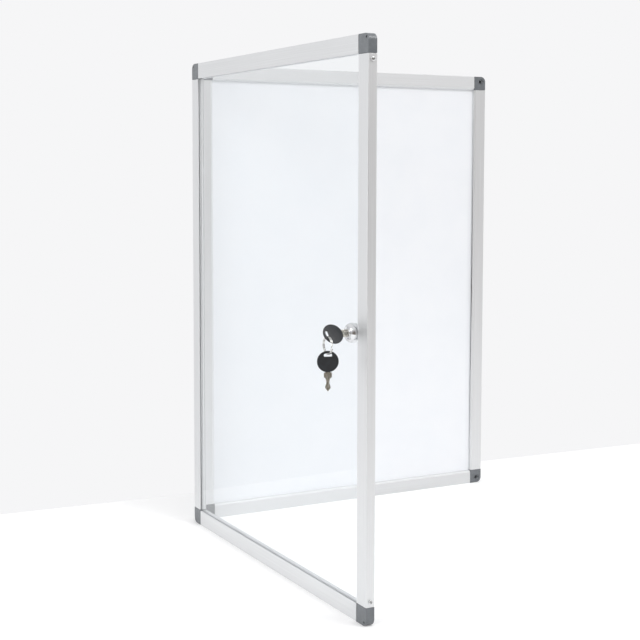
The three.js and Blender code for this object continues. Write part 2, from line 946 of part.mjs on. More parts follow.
function keyBow() {
  const rim = [];
  for (let i = 0; i < bowSides; i += 1) {
    const angle = (i / bowSides) * Math.PI * 2;
    rim.push([(keyBowWidth / 2) * Math.cos(angle), (keyBowLength / 2) * Math.sin(angle)]);
  }
  const bow = rounded(outline(rim), keyBowThickness, keyBowEdge);
  bow.translate(0, 0, -keyBowThickness / 2);
  const x = keySlotLength / 2 - keySlotCorner;
  const y = keySlotWidth / 2 - keySlotCorner;
  const slot = extruded(outline([
    ...arcPoints(x, y, keySlotCorner, 0, quarter, edgeSteps),
    ...arcPoints(-x, y, keySlotCorner, quarter, Math.PI, edgeSteps),
    ...arcPoints(-x, -y, keySlotCorner, Math.PI, Math.PI + quarter, edgeSteps),
    ...arcPoints(x, -y, keySlotCorner, Math.PI + quarter, Math.PI * 2, edgeSteps),
  ]), keyBowThickness + cutOverrun + cutOverrun);
  slot.translate(0, -keySlotCentre, -keyBowThickness / 2 - cutOverrun);
  const pocketHalf = bladeThickness / 4 + keywayPlay;
  const pocket = block(
    -tangHalf - keywayPlay,
    tangHalf + keywayPlay,
    keyBowLength / 2 - tangLength - keywayPlay,
    keyBowLength / 2 + cutOverrun,
    -pocketHalf,
    pocketHalf,
  );
  return combine(bow, { cut: [slot, pocket] });
}

function keyBlade() {
  const start = keyBowLength / 2 + seat;
  const shoulderEnd = keyBowLength / 2 + keyExposed - seat;
  const right = [
    [bladeShoulderHalf, start],
    [bladeShoulderHalf, shoulderEnd],
    [bladeBodyHalf, shoulderEnd],
    ...bladeShares.map(([along, across]) => [
      bladeBodyHalf * across,
      keyBowLength / 2 + bladeLength * along,
    ]),
  ];
  const left = right.map(([x, y]) => [-x, y]).reverse();
  const plate = extruded(outline([...right, ...left]), bladeThickness);
  plate.translate(0, 0, -bladeThickness / 2);
  const tang = block(
    -tangHalf,
    tangHalf,
    keyBowLength / 2 - tangLength,
    start + seat,
    -bladeThickness / 4,
    bladeThickness / 4,
  );
  return combine(plate, { add: [tang] });
}

const insertedKey = new THREE.Group();
insertedKey.position.set(0, -keyBowCentre, 0);
rotor.add(insertedKey);
lay(named('key_1_bow', keyBow(), blackPlastic, insertedKey), [0, 0, 0], [0, 0, 1], [0, 1, 0]);
lay(named('key_1_blade', keyBlade(), nickel, insertedKey), [0, 0, 0], [0, 0, 1], [0, 1, 0]);

// Split ring
// It hangs in a plane parallel to the pane, from the lower end of the first key's slot.

const keyTurn = radians(keyTurnDegrees);
const hangAlongSlot = keySlotLength / 2 - ringHang;
const ringPivotX = hangAlongSlot * Math.sin(keyTurn);
const ringPivotZ = -hangAlongSlot * Math.cos(keyTurn);
const ringY = -keyBowCentre - keySlotCentre;
const layerOffset = ringWireRadius + ringTurnGap / 2;

class SplitRingCurve extends THREE.Curve {
  getPoint(t, target = new THREE.Vector3()) {
    const degrees = ringStartDegrees + ringTravelDegrees * t;
    const raw = (degrees - ringStepFromDegrees) / (ringStepToDegrees - ringStepFromDegrees);
    const step = THREE.MathUtils.smoothstep(raw, 0, 1);
    const angle = radians(degrees);
    return target.set(
      ringRadius * Math.cos(angle),
      layerOffset * (step + step - 1),
      ringRadius * Math.sin(angle),
    );
  }
}

const wire = [];
for (let i = 0; i < ringSides; i += 1) {
  const angle = (i / ringSides) * Math.PI * 2;
  wire.push([ringWireRadius * Math.cos(angle), ringWireRadius * Math.sin(angle)]);
}
const ringShape = closedGeometry(new THREE.ExtrudeGeometry(outline(wire), {
  steps: ringSteps,
  extrudePath: new SplitRingCurve(),
}));
const keyRing = named('key_ring', ringShape, brightWire, lock);
keyRing.position.set(ringPivotX, ringY, ringPivotZ - ringRadius);

// The least gap between the ring's two turns, measured between points more than half a turn apart
function leastRingGap(curve) {
  const points = curve.getPoints(ringSteps * edgeSteps);
  const halfTurn = points.length * (180 / ringTravelDegrees);
  let least = Infinity;
  points.forEach((point, i) => {
    points.slice(i + Math.ceil(halfTurn)).forEach((other) => {
      least = Math.min(least, point.distanceTo(other));
    });
  });
  return least - ringWireRadius - ringWireRadius;
}
const measuredGap = leastRingGap(new SplitRingCurve());
console.log(`least gap between the turns of the split ring: ${measuredGap.toFixed(2)} mm`);

// Second key, hanging from the bottom of the ring with its tip down

const hangingKey = new THREE.Group();
const wireAtBottom = ringPivotZ - ringRadius - ringRadius;
const slotOuterEdge = keySlotCentre + keySlotWidth / 2;
const hangingKeyZ = wireAtBottom + ringWireRadius + hangingKeyPlay - slotOuterEdge;
hangingKey.position.set(ringPivotX, ringY, hangingKeyZ);
hangingKey.rotation.z = radians(hangingKeyYawDegrees);
lock.add(hangingKey);
lay(named('key_2_bow', keyBow(), blackPlastic, hangingKey), [0, 0, 0], [1, 0, 0], [0, 0, -1]);
lay(named('key_2_blade', keyBlade(), nickel, hangingKey), [0, 0, 0], [1, 0, 0], [0, 0, -1]);

export default model;
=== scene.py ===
# %% [markdown]
# # A lockable notice board, dressed for a studio photograph
# The board is an aluminium frame round a white steel writing sheet, with a clear door hinged
# at its left edge. The imported solids already have the true sizes and places, so this lesson
# keeps them as the skeleton, gives every one of them a real finish, and models the small
# shaped pieces again by hand: corner caps, screws, hinges, the lock and its keys.

# %% Load the imported model, and a way to read a solid's box
import math

import bmesh
import bpy
from mathutils import Matrix, Vector


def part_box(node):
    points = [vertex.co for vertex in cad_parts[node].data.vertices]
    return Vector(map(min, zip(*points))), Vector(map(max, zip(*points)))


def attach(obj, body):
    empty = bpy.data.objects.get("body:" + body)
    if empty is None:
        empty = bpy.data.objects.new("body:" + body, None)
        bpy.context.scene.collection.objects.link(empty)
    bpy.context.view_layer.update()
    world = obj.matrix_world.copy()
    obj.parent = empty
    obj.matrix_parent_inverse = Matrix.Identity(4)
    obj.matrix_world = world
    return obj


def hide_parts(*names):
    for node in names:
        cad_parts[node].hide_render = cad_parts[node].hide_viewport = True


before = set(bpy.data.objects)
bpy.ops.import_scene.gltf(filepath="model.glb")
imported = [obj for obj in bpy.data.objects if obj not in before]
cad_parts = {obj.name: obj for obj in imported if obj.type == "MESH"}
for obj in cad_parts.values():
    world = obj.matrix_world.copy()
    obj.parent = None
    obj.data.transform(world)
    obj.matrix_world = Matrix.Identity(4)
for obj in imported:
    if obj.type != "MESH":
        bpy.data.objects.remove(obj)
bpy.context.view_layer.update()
scene = bpy.context.scene
scene.view_settings.view_transform = "Standard"

# %% [markdown]
# ## Where things are
# Everything is drawn in millimetres first, because a maker reads this object in millimetres,
# and brought to metres when a piece is finished. The door is described as if it were closed.
# One matrix then swings it open about its hinge line, and others carry the lock, the turned
# key and the key that hangs from the ring, so that each piece can be modelled lying straight.

# %% Sizes of the two frames
MM = 0.001
BOARD_WIDTH = 525
BOARD_HEIGHT = 700
BACK_DEPTH = 16
DOOR_DEPTH = 12
CLOSING_GAP = 0.5
HINGE_STANDOFF = 2.8  # from the hinge line to the edge of either frame
DOOR_REACH = 22.6  # from the door's edge to its opening
PANE_FRONT = 1.45  # from the door's face to the pane's
LOCK_FROM_STILE = 12.4
LOCK_BELOW_MIDDLE = 1
print("frames:", BOARD_WIDTH, "by", BOARD_HEIGHT, "mm,", BACK_DEPTH, "and", DOOR_DEPTH, "mm deep")

# %% Matrices that carry a straight piece to its place
hinge_line = Vector((-BOARD_WIDTH / 2 - HINGE_STANDOFF, -BACK_DEPTH / 2 - CLOSING_GAP / 2, 0))
DOOR = Matrix.Translation(hinge_line) @ Matrix.Rotation(math.radians(-90), 4, "Z")
DOOR_FRONT = -CLOSING_GAP / 2 - DOOR_DEPTH
lock_at = (
    HINGE_STANDOFF + BOARD_WIDTH - DOOR_REACH - LOCK_FROM_STILE,
    DOOR_FRONT + PANE_FRONT,
    BOARD_HEIGHT / 2 - LOCK_BELOW_MIDDLE,
)
LOCK = DOOR @ Matrix.Translation(lock_at)
KEY_TURN = math.radians(38)
ROTOR = LOCK @ Matrix.Rotation(-KEY_TURN, 4, "Y")
ALONG_X = Matrix.Rotation(math.radians(90), 4, "Y")  # carries plus Z on the bench to plus X
print("lock axis at", [round(c, 2) for c in LOCK.translation], "mm")


def axes(x, y, z):
    """A matrix whose columns are the directions that a piece's own axes point along."""
    return Matrix((x, y, z)).transposed().to_4x4()


# %% [markdown]
# ## A bench to work on
# Blender's edit tools act on whatever is selected. These short helpers add a primitive with
# nothing else selected, pick faces or edges of it by a test on their place, cut and join
# pieces, and carry them about.

# %% Helpers for edit mode
def only(*objects):
    """Leaves object mode with just these objects selected, the first one active."""
    if bpy.context.object and bpy.context.object.mode == "EDIT":
        bpy.ops.object.mode_set(mode="OBJECT")
    bpy.ops.object.select_all(action="DESELECT")
    for piece in objects:
        piece.select_set(True)
    bpy.context.view_layer.objects.active = objects[0]


def edit(piece, kind="FACE"):
    """Enters edit mode on one piece, ready to select faces, edges or points."""
    only(piece)
    bpy.ops.object.mode_set(mode="EDIT")
    bpy.ops.mesh.select_mode(type=kind)


def pick(piece, kind, test):
    """In edit mode, selects only the faces whose middle and normal pass the test, or only the
    edges whose middle and direction do."""
    bpy.ops.mesh.select_mode(type=kind)
    bpy.ops.mesh.select_all(action="DESELECT")
    mesh = bmesh.from_edit_mesh(piece.data)
    for part in mesh.faces if kind == "FACE" else mesh.edges:
        if kind == "FACE":
            chosen = test(part.calc_center_median(), part.normal)
        else:
            first, second = (v.co for v in part.verts)
            chosen = test((first + second) / 2, (second - first).normalized())
        part.select_set(chosen)
    mesh.select_flush_mode()
    bmesh.update_edit_mesh(piece.data)


def apply(piece, kind, **settings):
    """Adds one modifier, sets it and applies it."""
    only(piece)
    modifier = piece.modifiers.new(kind.title(), kind)
    for name, value in settings.items():
        setattr(modifier, name, value)
    bpy.ops.object.modifier_apply(modifier=modifier.name)


# %% Helpers that add, cut and join
SAME_POINT = 0.001  # points of a piece nearer than this, in millimetres, are one point


def slab(x0, x1, y0, y1, z0, z1):
    """A block between two corners, in millimetres."""
    bpy.ops.object.select_all(action="DESELECT")
    bpy.ops.mesh.primitive_cube_add(size=1, location=((x0 + x1) / 2, (y0 + y1) / 2, (z0 + z1) / 2))
    block = bpy.context.object
    block.scale = (abs(x1 - x0), abs(y1 - y0), abs(z1 - z0))
    bpy.ops.object.transform_apply(location=True, rotation=True, scale=True)
    return block


def turned(profile, sides):
    """A turned body about Z. A ring of edges is extruded and resized from one step of the
    profile, a list of radius and height, to the next. A profile that comes back to its start
    closes on itself, and any other gets its two ends filled."""
    bpy.ops.object.select_all(action="DESELECT")
    radius, height = profile[0]
    bpy.ops.mesh.primitive_circle_add(vertices=sides, radius=radius, location=(0, 0, height))
    body = bpy.context.object
    bpy.ops.object.transform_apply(location=True, rotation=True, scale=True)
    edit(body, "EDGE")
    bpy.ops.mesh.select_all(action="SELECT")
    for next_radius, next_height in profile[1:]:
        rise = {"value": (0, 0, next_height - height)}
        bpy.ops.mesh.extrude_region_move(TRANSFORM_OT_translate=rise)
        share = next_radius / radius
        bpy.ops.transform.resize(value=(share, share, 1), center_override=(0, 0, next_height))
        radius, height = next_radius, next_height
    bpy.ops.mesh.select_all(action="SELECT")
    bpy.ops.mesh.remove_doubles(threshold=SAME_POINT)
    if profile[0] != profile[-1]:
        bpy.ops.mesh.select_all(action="SELECT")
        bpy.ops.mesh.fill_holes(sides=0)
    bpy.ops.mesh.select_all(action="SELECT")
    bpy.ops.mesh.normals_make_consistent(inside=False)
    bpy.ops.object.mode_set(mode="OBJECT")
    return body


def combine(piece, tool, operation="DIFFERENCE"):
    """Cuts a piece with a tool, or joins or crosses them, and throws the tool away."""
    only(piece)
    modifier = piece.modifiers.new("Cut", "BOOLEAN")
    modifier.object = tool
    modifier.operation = operation
    modifier.solver = "EXACT"
    bpy.ops.object.modifier_apply(modifier=modifier.name)
    bpy.data.objects.remove(tool)


def moved(piece, matrix):
    """Carries a piece to another place on the bench and applies that to its mesh."""
    only(piece)
    piece.matrix_world = matrix @ piece.matrix_world
    bpy.ops.object.transform_apply(location=True, rotation=True, scale=True)
    return piece


def copied(piece):
    """A copy with a mesh of its own."""
    twin = piece.copy()
    twin.data = piece.data.copy()
    scene.collection.objects.link(twin)
    return twin


def discard(*pieces):
    """Throws away what was only needed on the bench."""
    for piece in pieces:
        bpy.data.objects.remove(piece)


# %% [markdown]
# ## Finishes
# A colour is written as it looks on a screen, so one function turns it into the linear light
# that the shaders work in. A second small function adds a shader node with its settings and
# links. Every pattern is sized from a real distance in millimetres.

# %% Colour and node helpers
def linear(hex_colour):
    """A screen colour such as "#C8CACC" as linear red, green, blue and alpha."""
    levels = [int(hex_colour[i : i + 2], 16) / 255 for i in (1, 3, 5)]
    return [c / 12.92 if c <= 0.04045 else ((c + 0.055) / 1.055) ** 2.4 for c in levels] + [1.0]


def add(tree, kind, settings=None, links=None):
    """Adds one node, sets its fields and sockets, and links its inputs."""
    node = tree.nodes.new(kind)
    for name, value in (settings or {}).items():
        if hasattr(node, name):
            setattr(node, name, value)
        else:
            node.inputs[name].default_value = value
    for name, output in (links or {}).items():
        tree.links.new(output, node.inputs[name])
    return node


def finish(name, settings):
    """A material with one Principled shader whose plain values are set on its own sockets."""
    material = bpy.data.materials.new(name)
    material.use_nodes = True
    material.node_tree.nodes.clear()
    shader = add(material.node_tree, "ShaderNodeBsdfPrincipled", settings)
    add(material.node_tree, "ShaderNodeOutputMaterial", links={"Surface": shader.outputs["BSDF"]})
    print("finish:", name)
    return material, shader


def grain(tree, size_mm, detail, stretch=(1, 1, 1)):
    """Noise whose blotches are about this many millimetres across, read in the object's own
    coordinates. Detail adds that many finer layers, and the stretch makes the blotches that
    many times longer along an axis."""
    place = add(tree, "ShaderNodeTexCoord")
    scale = [1 / s for s in stretch]
    sized = add(tree, "ShaderNodeMapping", {"Scale": scale}, {"Vector": place.outputs["Object"]})
    return add(
        tree,
        "ShaderNodeTexNoise",
        {"Scale": 1 / (size_mm * MM), "Detail": detail},
        {"Vector": sized.outputs["Vector"]},
    ).outputs["Fac"]


def vary(tree, pattern, low, high, shader, socket, spread=0.2):
    """Lets a pattern move a socket between two values."""
    ranged = add(
        tree,
        "ShaderNodeMapRange",
        {"From Min": 0.5 - spread, "From Max": 0.5 + spread, "To Min": low, "To Max": high},
        {"Value": pattern},
    )
    tree.links.new(ranged.outputs["Result"], shader.inputs[socket])


def tint(tree, pattern, dark, light, shader, spread=0.2):
    """Lets a pattern move the base colour between two screen colours."""
    ramp = add(tree, "ShaderNodeValToRGB", links={"Fac": pattern})
    ramp.color_ramp.elements[0].position = 0.5 - spread
    ramp.color_ramp.elements[0].color = linear(dark)
    ramp.color_ramp.elements[1].position = 0.5 + spread
    ramp.color_ramp.elements[1].color = linear(light)
    tree.links.new(ramp.outputs["Color"], shader.inputs["Base Color"])


def relief(tree, pattern, height_mm, shader, strength=1.0):
    """Raises the surface by a pattern, up to this many millimetres, on top of any relief that
    the shader already has."""
    bump = add(
        tree,
        "ShaderNodeBump",
        {"Distance": height_mm * MM, "Strength": strength},
        {"Height": pattern},
    )
    for below in shader.inputs["Normal"].links:
        tree.links.new(below.from_socket, bump.inputs["Normal"])
    tree.links.new(bump.outputs["Normal"], shader.inputs["Normal"])


# %% [markdown]
# ### Natural anodised aluminium
# The rails and stiles are extruded: hot aluminium is pushed through a steel die, which draws
# very fine straight lines along each length. Etching and anodising then leave a satin, nearly
# neutral grey. The eye sees a soft broad sheen with faint lengthwise streaks, so the streaks
# must run along the piece. The die lines are a tenth of a millimetre apart and would not show,
# so they are drawn a little coarser. Such lines spread a reflection across themselves. Those
# of the back frame's rails run level along X, so their sheen spreads up and down and picks up
# more of the pale room, which a higher roughness stands for.

# %% Anodised aluminium, one material for each direction
def anodised(direction):
    """The finish of an extrusion whose length runs along X, Y or Z."""
    stretch = {"x": (400, 1, 1), "y": (1, 400, 1), "z": (1, 1, 400)}[direction]
    rough = 0.62 if direction == "x" else 0.44
    material, shader = finish(
        f"natural_anodised_aluminium_along_{direction}",
        {"Metallic": 1.0, "Roughness": 0.4},
    )
    tree = material.node_tree
    die_lines = grain(tree, 0.5, 4, stretch)
    etch = grain(tree, 0.35, 2)
    tint(tree, die_lines, "#DEDFE0", "#E9EAEB", shader)
    vary(tree, die_lines, rough, rough + 0.1, shader, "Roughness")
    relief(tree, etch, 0.004, shader, 0.5)
    relief(tree, die_lines, 0.08, shader)
    return material


ALUMINIUM = {direction: anodised(direction) for direction in "xyz"}

# %% [markdown]
# ### Moulded and sheet finishes
# The corner caps are injection moulded ABS in mid grey, from a mould that was polished and
# then lightly blasted, so they have a satin skin whose round corners catch a soft highlight.
# The keys' bows are the same plastic in near black, with a duller grain. The writing sheet is
# steel with a baked white enamel, a semi-gloss with a faint waviness from the rollers. The
# clear pane is cast acrylic, smooth and almost colourless.

# %% Grey ABS for the caps
GREY_ABS, shader = finish("grey_satin_abs", {"Roughness": 0.3, "IOR": 1.53})
tree = GREY_ABS.node_tree
skin = grain(tree, 0.4, 3)
tint(tree, grain(tree, 6, 2), "#696D71", "#73777B", shader, 0.25)
vary(tree, skin, 0.24, 0.36, shader, "Roughness")
relief(tree, skin, 0.012, shader)

# %% Black ABS for the bows
BLACK_ABS, shader = finish("black_satin_abs", {"Roughness": 0.4, "IOR": 1.53})
tree = BLACK_ABS.node_tree
skin = grain(tree, 0.5, 3)
tint(tree, grain(tree, 5, 2), "#1B1D20", "#272A2E", shader, 0.25)
vary(tree, skin, 0.32, 0.48, shader, "Roughness")
relief(tree, skin, 0.015, shader)

# %% White enamelled steel, with the faint waviness of a roller coat
WHITE_ENAMEL, shader = finish("white_baked_enamel_on_steel", {"Roughness": 0.3, "IOR": 1.5})
tree = WHITE_ENAMEL.node_tree
tint(tree, grain(tree, 60, 2), "#F3F6FA", "#F7F9FC", shader, 0.3)
vary(tree, grain(tree, 30, 2), 0.28, 0.33, shader, "Roughness")
relief(tree, grain(tree, 12, 1), 0.004, shader, 0.4)

# %% Clear cast acrylic
CLEAR_ACRYLIC, shader = finish(
    "clear_cast_acrylic",
    {"Base Color": linear("#FBFDFE"), "Roughness": 0.0, "IOR": 1.49, "Transmission Weight": 1.0},
)
tree = CLEAR_ACRYLIC.node_tree
vary(tree, grain(tree, 40, 2), 0.0, 0.02, shader, "Roughness", 0.3)

# %% [markdown]
# ### Small metal
# The screws and hinges are steel with a thin bright zinc coat, which dulls unevenly, so they
# gleam in small patches. The lock is a zinc casting that was polished and chrome plated, so it
# mirrors the room with only a trace of waviness. The key blades are milled brass with a nickel
# plate that has worn in patches from bright to a warm grey. Its fine lines run up and down, as
# the hanging key does. The split ring is bright drawn wire, the cam is stamped from plated
# steel, and the back of the board is sheet from a zinc bath, over a core of pressed fibre.

# %% Zinc plate
ZINC, shader = finish("bright_zinc_plate_on_steel", {"Metallic": 1.0, "Roughness": 0.3})
tree = ZINC.node_tree
tint(tree, grain(tree, 1.6, 3), "#CFD0CF", "#E4E5E6", shader, 0.25)
vary(tree, grain(tree, 0.8, 3), 0.12, 0.26, shader, "Roughness", 0.25)
relief(tree, grain(tree, 0.6, 2), 0.01, shader)

# %% Chrome
CHROME, shader = finish("polished_chrome_plate", {"Metallic": 1.0, "Roughness": 0.08})
tree = CHROME.node_tree
tint(tree, grain(tree, 5, 2), "#D6D7D9", "#E2E3E5", shader, 0.25)
vary(tree, grain(tree, 2, 3), 0.05, 0.14, shader, "Roughness", 0.25)
relief(tree, grain(tree, 4, 2), 0.02, shader)

# %% Worn nickel on milled brass
NICKEL, shader = finish("worn_nickel_on_milled_brass", {"Metallic": 1.0, "Roughness": 0.24})
tree = NICKEL.node_tree
tint(tree, grain(tree, 1.4, 3), "#A09C8D", "#E8E6DF", shader)
vary(tree, grain(tree, 0.5, 3, (1, 1, 6)), 0.1, 0.28, shader, "Roughness", 0.25)
relief(tree, grain(tree, 0.35, 2, (1, 1, 8)), 0.01, shader)

# %% Bright wire, pressed steel for the cam, and the two sheets behind the writing surface
WIRE, shader = finish("bright_drawn_wire", {"Metallic": 1.0, "Roughness": 0.16})
tree = WIRE.node_tree
tint(tree, grain(tree, 1.5, 2), "#C9C9C6", "#DEDEDC", shader)
vary(tree, grain(tree, 0.5, 2), 0.12, 0.24, shader, "Roughness")

CAM_STEEL, shader = finish("stamped_plated_steel", {"Metallic": 1.0, "Roughness": 0.36})
tree = CAM_STEEL.node_tree
tint(tree, grain(tree, 2.5, 3), "#B2B3B1", "#C6C7C6", shader)
vary(tree, grain(tree, 0.7, 3), 0.3, 0.46, shader, "Roughness")
relief(tree, grain(tree, 0.5, 2), 0.012, shader)

GALVANISED, shader = finish("galvanised_steel_sheet", {"Metallic": 1.0, "Roughness": 0.42})
tree = GALVANISED.node_tree
place = add(tree, "ShaderNodeTexCoord")
CRYSTAL = 7  # the spangle of a hot dipped sheet, across, in millimetres
spangle = add(
    tree,
    "ShaderNodeTexVoronoi",
    {"Scale": 1 / (CRYSTAL * MM)},
    {"Vector": place.outputs["Object"]},
)
lightness = add(tree, "ShaderNodeRGBToBW", links={"Color": spangle.outputs["Color"]})
tint(tree, lightness.outputs["Val"], "#AFB2B4", "#BEC0C2", shader, 0.4)
vary(tree, lightness.outputs["Val"], 0.34, 0.5, shader, "Roughness", 0.4)

PRESSED_FIBRE, shader = finish("pressed_wood_fibre", {"Roughness": 0.9, "IOR": 1.5})
tree = PRESSED_FIBRE.node_tree
tint(tree, grain(tree, 1.2, 4), "#9C7F5B", "#C7AA80", shader, 0.25)
relief(tree, grain(tree, 0.9, 4), 0.08, shader)

# %% [markdown]
# ## Handing a piece over
# A finished piece is scaled to metres and its place is applied to its mesh. The specks that
# cuts and bevels leave are merged, its faces are turned outwards, and its roundings are shaded.
# Then it takes its finish, rides on its body and stands for its solid. A long extrusion starts as
# a copy of its solid instead, which is in its place and in metres already.

# %% Settling a finished piece
SPECK = 0.004 * MM
SMOOTH_UNDER = 35  # edges that turn by less than this many degrees are shaded smoothly
BEVEL_OVER = 28  # takes in the 30 degree steps of the solids' own roundings


def clean(piece):
    """Merges the specks that cuts and bevels leave, and turns all faces outwards."""
    edit(piece, "VERT")
    for _ in range(2):
        bpy.ops.mesh.select_all(action="SELECT")
        bpy.ops.mesh.remove_doubles(threshold=SPECK)
        bpy.ops.mesh.select_all(action="SELECT")
        bpy.ops.mesh.dissolve_degenerate(threshold=SPECK)
    bpy.ops.mesh.select_all(action="SELECT")
    bpy.ops.mesh.normals_make_consistent(inside=False)
    bpy.ops.object.mode_set(mode="OBJECT")


def shaded(piece, angle):
    """Shades roundings smoothly. Weighting the normals by area keeps the flat faces beside them
    flat, where plain smooth shading would let a rounding's tilt run all across them."""
    bpy.ops.object.shade_smooth_by_angle(angle=math.radians(angle))
    apply(piece, "WEIGHTED_NORMAL", mode="FACE_AREA", weight=100, keep_sharp=True)


def hand_over(piece, name, body, material, nodes, angle):
    """Cleans and shades a piece that is in its place, and lets it stand for its solid."""
    clean(piece)
    shaded(piece, angle)
    piece.name = piece.data.name = name
    piece.data.materials.clear()
    piece.data.materials.append(material)
    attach(piece, body)
    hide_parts(*nodes)
    low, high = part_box(nodes[0])
    mine = [Vector(corner) for corner in piece.bound_box]
    gap = max(
        max(abs(min(c[i] for c in mine) - low[i]), abs(max(c[i] for c in mine) - high[i]))
        for i in range(3)
    )
    print(f"{name}: {len(piece.data.polygons)} faces, {gap / MM:.2f} mm from its solid's box")


def settle(piece, name, body, material, nodes, place, angle=SMOOTH_UNDER):
    """Brings a piece from the bench to its place on the board, in metres, and hands it over."""
    only(piece)
    piece.matrix_world = Matrix.Scale(MM, 4) @ place @ piece.matrix_world
    bpy.ops.object.transform_apply(location=True, rotation=True, scale=True)
    hand_over(piece, name, body, material, nodes, angle)


def softened(node, name, body, material, width_mm, cutters=()):
    """A copy of a solid whose loose triangles are merged, which is cut by the cutters, and whose
    sharp edges are broken by a small bevel, as a file or the die leaves them, so that they
    catch a line of light."""
    piece = copied(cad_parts[node])
    piece.parent = None
    # The copy must not carry the marks that make the solid a part of the frame
    for key in [k for k in piece.keys() if k.startswith("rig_")]:
        del piece[key]
    edit(piece)
    bpy.ops.mesh.select_all(action="SELECT")
    bpy.ops.mesh.remove_doubles(threshold=SPECK / 2)
    bpy.ops.mesh.dissolve_limited(angle_limit=math.radians(0.5))
    for cutter in cutters:
        combine(piece, copied(cutter))
    apply(piece, "BEVEL", width=width_mm * MM, segments=2, limit_method="ANGLE",
          angle_limit=math.radians(BEVEL_OVER), use_clamp_overlap=False)
    hand_over(piece, name, body, material, [node], SMOOTH_UNDER)


# %% [markdown]
# ## Rails and stiles
# The eight lengths of extrusion are cut square between the corner caps. The solids already
# have the true sections, with the bevelled inner lip of the back frame and the narrow groove
# that holds the pane. Only their knife-sharp edges give them away, so each gets a small bevel.
# The bench copy keeps the section exactly, which drawing it again would risk. Two fine grooves
# run round the door's opening. The solids have them shallow, and shallow bright metal hardly
# shows, so they are cut deeper here, all round at once by a slab that fills the opening and
# reaches a little way into the metal.

# %% A slab for each of the door's two grooves
EDGE_BREAK = 0.16
FINE_GROOVES = ((5.95, 7.05, 1.6), (9.95, 10.65, 1.0))  # from and to, behind the face, and depth
groove_slabs = []
for first, last, deep in FINE_GROOVES:
    near = DOOR_REACH - deep
    groove_slab = slab(HINGE_STANDOFF + near, HINGE_STANDOFF + BOARD_WIDTH - near,
                       DOOR_FRONT + first, DOOR_FRONT + last, near, BOARD_HEIGHT - near)
    groove_slabs.append(moved(groove_slab, Matrix.Scale(MM, 4) @ DOOR))
print("grooves cut into the door:", [deep for first, last, deep in FINE_GROOVES], "mm deep")

# %% Break the edges of the eight extrusions
for prefix, body in (("back", "back_frame"), ("door", "door")):
    along = "x" if prefix == "back" else "y"
    for end in ("stile_left", "stile_right", "rail_top", "rail_bottom"):
        metal = ALUMINIUM["z" if end.startswith("stile") else along]
        node = f"{prefix}_{end}"
        softened(node, f"{node}_extrusion", body, metal, EDGE_BREAK,
                 groove_slabs if prefix == "door" else ())
discard(*groove_slabs)

# %% [markdown]
# ## Corner caps
# Each corner is one moulding that plugs into both lengths of extrusion with a tenon. Its outer
# corner is rounded, and its rims are softly rounded all the way, which is what catches the
# light as a pale ridge. It starts as a cube, its one upright edge is bevelled into the round
# corner, then the rims of both faces are bevelled, and the tenons and holes come last. The
# caps of the back frame have a countersunk hole for a wall screw. The door's have a small
# dimple where the mould's pin pushed them out.

# %% One cap of each frame, in the bottom left corner
BACK_CAP = 22.4
DOOR_CAP = 23.2
CAP_ROUND = 8.5
CAP_RIM = 0.7
TENON_LENGTH = 20
WALL_HOLE_INSET = 8.5
DIMPLE_INSET = 4.6
NEAR = 0.01  # a face or edge that is this near to a place counts as there


def corner_cap(size, depth, tenon, hole_inset, hole_profile):
    """A cap with its outer corner at the origin, its face up, and its arms along X and Y. The
    tenon is given by its two sides and its two heights."""
    cap = slab(0, size, 0, size, 0, depth)
    edit(cap)
    pick(cap, "EDGE", lambda at, way: abs(way.z) > 0.9 and at.x < NEAR and at.y < NEAR)
    bpy.ops.mesh.bevel(offset=CAP_ROUND, segments=14, profile=0.5, affect="EDGES")
    pick(cap, "EDGE", lambda at, way: abs(way.z) < 0.1 and (at.z < NEAR or at.z > depth - NEAR))
    bpy.ops.mesh.bevel(offset=CAP_RIM, segments=5, profile=0.5, affect="EDGES")
    bpy.ops.object.mode_set(mode="OBJECT")
    side, other_side, low, high = tenon
    root, tip = size - 1, size + TENON_LENGTH
    combine(cap, slab(root, tip, side, other_side, low, high), "UNION")
    combine(cap, slab(side, other_side, root, tip, low, high), "UNION")
    hole_at = Matrix.Translation((hole_inset, hole_inset, 0))
    combine(cap, moved(turned(hole_profile, 40), hole_at))
    return cap


back_cap = corner_cap(BACK_CAP, BACK_DEPTH, (1.65, 10.05, 1.65, 14.35), WALL_HOLE_INSET,
                      [(2.5, -1), (2.5, 12.4), (4.7, 14.8), (4.7, 17)])
door_cap = corner_cap(DOOR_CAP, DOOR_DEPTH, (1.65, 14.25, 1.65, 10.35), DIMPLE_INSET,
                      [(1.5, 8.5), (1.5, 13)])
print("cap faces:", len(back_cap.data.polygons), len(door_cap.data.polygons))

# %% [markdown]
# ### Pan head screws
# A pan head is turned with a rounded top and then the cross is pressed into it. The pointed
# shank runs through the stile into the cap's tenon. One is modelled, and all eight are copies.

# %% Pan head screw
def press_cross(screw, half_width, half_length, low, high):
    """Presses a cross into a screw's head."""
    combine(screw, slab(-half_width, half_width, -half_length, half_length, low, high))
    combine(screw, slab(-half_length, half_length, -half_width, half_width, low, high))


pan_screw = turned(
    [(0.3, 8), (1.5, 6.6), (1.5, 0), (2.8, 0), (2.8, -0.7), (2.72, -0.98), (2.5, -1.25),
     (2.1, -1.48), (1.5, -1.64), (0.8, -1.7), (0.05, -1.7)], 40)
press_cross(pan_screw, 0.5, 1.7, -3, -0.5)
combine(pan_screw, turned([(1.45, -2), (0.6, 0.6)], 24))
print("pan head screw:", len(pan_screw.data.polygons), "faces")

